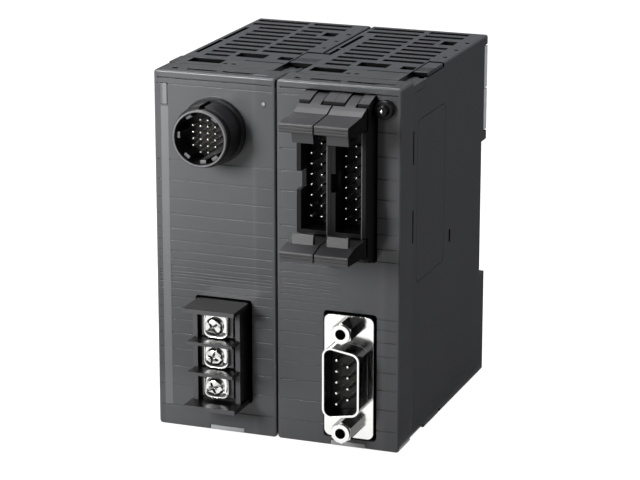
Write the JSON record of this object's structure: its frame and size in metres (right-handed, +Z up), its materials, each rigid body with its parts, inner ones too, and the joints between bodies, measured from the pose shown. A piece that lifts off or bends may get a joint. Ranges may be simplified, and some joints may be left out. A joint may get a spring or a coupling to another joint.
{
  "type": "plc module",
  "caption": "Rail-mounted controller module of two joined housings with a round connector, screw terminal, latched box headers and a D connector on its face.",
  "frame": {"origin": "middle of the seat that lies against the mounting rail, on the rail's centre line and between the two housings", "axes": "+X to the right seen from the front, +Y back into the rail and cabinet wall, +Z up"},
  "size_m": [0.063, 0.0866, 0.09],
  "materials": {
    "case_plastic": "matt dark grey ABS, fine spark-eroded grain",
    "cover_plastic": "glossy smoked dark grey polycarbonate",
    "black_nylon": "satin black glass-filled nylon",
    "insert_plastic": "matt black connector insulator",
    "zinc_plate": "zinc-plated steel, passivated",
    "nickel": "bright nickel plate",
    "pin_metal": "tin-plated contact pins",
    "screw_metal": "nickel-plated steel screws",
    "board": "green solder mask on glass-epoxy board",
    "chip": "black epoxy chip housings",
    "can": "aluminium capacitor cans",
    "core": "ferrite core with taped winding",
    "bus_plastic": "black bus connector housings",
    "light_guide": "clear light guide behind smoked plastic",
    "label": "plain label strip",
    "lamp": "unlit light-emitting diodes"
  },
  "bodies": {
    "housings": {"dsub_insulator": "insert_plastic", "dsub_jack_screws": "nickel", "dsub_pins": "pin_metal", "dsub_shell": "nickel", "left_back_plates": "zinc_plate", "left_bus_plug": "bus_plastic", "left_capacitors": "can", "left_chips": "chip", "left_front_board": "board", "left_front_cover": "cover_plastic", "left_header_pins": "pin_metal", "left_header_shroud": "black_nylon", "left_label_strip": "label", "left_lamps": "lamp", "left_light_guide": "light_guide", "left_main_board": "board", "left_power_lens": "light_guide", "left_rear_case": "case_plastic", "left_side_board": "board", "left_transformer": "core", "right_back_plates": "zinc_plate", "right_bus_cover": "case_plastic", "right_bus_plug": "bus_plastic", "right_bus_socket": "bus_plastic", "right_capacitors": "can", "right_chips": "chip", "right_front_board": "board", "right_front_cover": "cover_plastic", "right_header_pins": "pin_metal", "right_header_shroud": "black_nylon", "right_main_board": "board", "right_rear_case": "case_plastic", "right_side_board": "board", "right_transformer": "core", "round_insert": "insert_plastic", "round_nut": "nickel", "round_pins": "pin_metal", "round_shell": "black_nylon", "terminal_block": "black_nylon", "terminal_plates": "screw_metal"},
    "left_top_slider": {"left_top_slider": "case_plastic"},
    "left_bottom_slider": {"left_bottom_slider": "case_plastic"},
    "left_rail_catch": {"left_rail_catch": "black_nylon"},
    "right_top_slider": {"right_top_slider": "case_plastic"},
    "right_bottom_slider": {"right_bottom_slider": "case_plastic"},
    "right_rail_catch": {"right_rail_catch": "black_nylon"},
    "left_header_upper_latch": {"left_header_upper_latch": "black_nylon"},
    "left_header_lower_latch": {"left_header_lower_latch": "black_nylon"},
    "right_header_upper_latch": {"right_header_upper_latch": "black_nylon"},
    "right_header_lower_latch": {"right_header_lower_latch": "black_nylon"},
    "terminal_washer_1": {"terminal_washer_1": "screw_metal"},
    "terminal_screw_1": {"terminal_screw_1": "screw_metal"},
    "terminal_washer_2": {"terminal_washer_2": "screw_metal"},
    "terminal_screw_2": {"terminal_screw_2": "screw_metal"},
    "terminal_washer_3": {"terminal_washer_3": "screw_metal"},
    "terminal_screw_3": {"terminal_screw_3": "screw_metal"}
  },
  "joints": [
    {"name": "left_top_slide", "type": "slide", "parent": "housings", "child": "left_top_slider", "axis": [0, -1, 0], "range_m": [0, 0.006]},
    {"name": "left_bottom_slide", "type": "slide", "parent": "housings", "child": "left_bottom_slider", "axis": [0, -1, 0], "range_m": [0, 0.006]},
    {"name": "left_catch_pull", "type": "slide", "parent": "housings", "child": "left_rail_catch", "axis": [0, 0, -1], "range_m": [0, 0.004], "stiffness_N_per_m": 300, "springref_m": -0.003},
    {"name": "right_top_slide", "type": "slide", "parent": "housings", "child": "right_top_slider", "axis": [0, -1, 0], "range_m": [0, 0.006]},
    {"name": "right_bottom_slide", "type": "slide", "parent": "housings", "child": "right_bottom_slider", "axis": [0, -1, 0], "range_m": [0, 0.006]},
    {"name": "right_catch_pull", "type": "slide", "parent": "housings", "child": "right_rail_catch", "axis": [0, 0, -1], "range_m": [0, 0.004], "stiffness_N_per_m": 300, "springref_m": -0.003},
    {"name": "left_header_upper_swing", "type": "hinge", "parent": "housings", "child": "left_header_upper_latch", "pos_m": [0.01222, -0.0635, 0.0393], "axis": [-1, 0, 0], "range_deg": [0, 33]},
    {"name": "left_header_lower_swing", "type": "hinge", "parent": "housings", "child": "left_header_lower_latch", "pos_m": [0.01222, -0.0635, 0.0062], "axis": [1, 0, 0], "range_deg": [0, 33]},
    {"name": "right_header_upper_swing", "type": "hinge", "parent": "housings", "child": "right_header_upper_latch", "pos_m": [0.02088, -0.0635, 0.0393], "axis": [-1, 0, 0], "range_deg": [0, 33]},
    {"name": "right_header_lower_swing", "type": "hinge", "parent": "housings", "child": "right_header_lower_latch", "pos_m": [0.02088, -0.0635, 0.0062], "axis": [1, 0, 0], "range_deg": [0, 33]},
    {"name": "washer_1_lift", "type": "slide", "parent": "housings", "child": "terminal_washer_1", "axis": [0, -1, 0], "range_m": [0, 0.0015]},
    {"name": "screw_1_turn", "type": "hinge", "parent": "terminal_washer_1", "child": "terminal_screw_1", "pos_m": [-0.0136, -0.07, -0.0313], "axis": [0, -1, 0], "range_deg": [0, 1080]},
    {"name": "washer_2_lift", "type": "slide", "parent": "housings", "child": "terminal_washer_2", "axis": [0, -1, 0], "range_m": [0, 0.0015]},
    {"name": "screw_2_turn", "type": "hinge", "parent": "terminal_washer_2", "child": "terminal_screw_2", "pos_m": [-0.0136, -0.07, -0.0236], "axis": [0, -1, 0], "range_deg": [0, 1080]},
    {"name": "washer_3_lift", "type": "slide", "parent": "housings", "child": "terminal_washer_3", "axis": [0, -1, 0], "range_m": [0, 0.0015]},
    {"name": "screw_3_turn", "type": "hinge", "parent": "terminal_washer_3", "child": "terminal_screw_3", "pos_m": [-0.0136, -0.07, -0.0159], "axis": [0, -1, 0], "range_deg": [0, 1080]}
  ],
  "couplings": [
    {"joint": "screw_1_turn", "follows": "washer_1_lift", "rad_per_m": 12566},
    {"joint": "screw_2_turn", "follows": "washer_2_lift", "rad_per_m": 12566},
    {"joint": "screw_3_turn", "follows": "washer_3_lift", "rad_per_m": 12566}
  ]
}
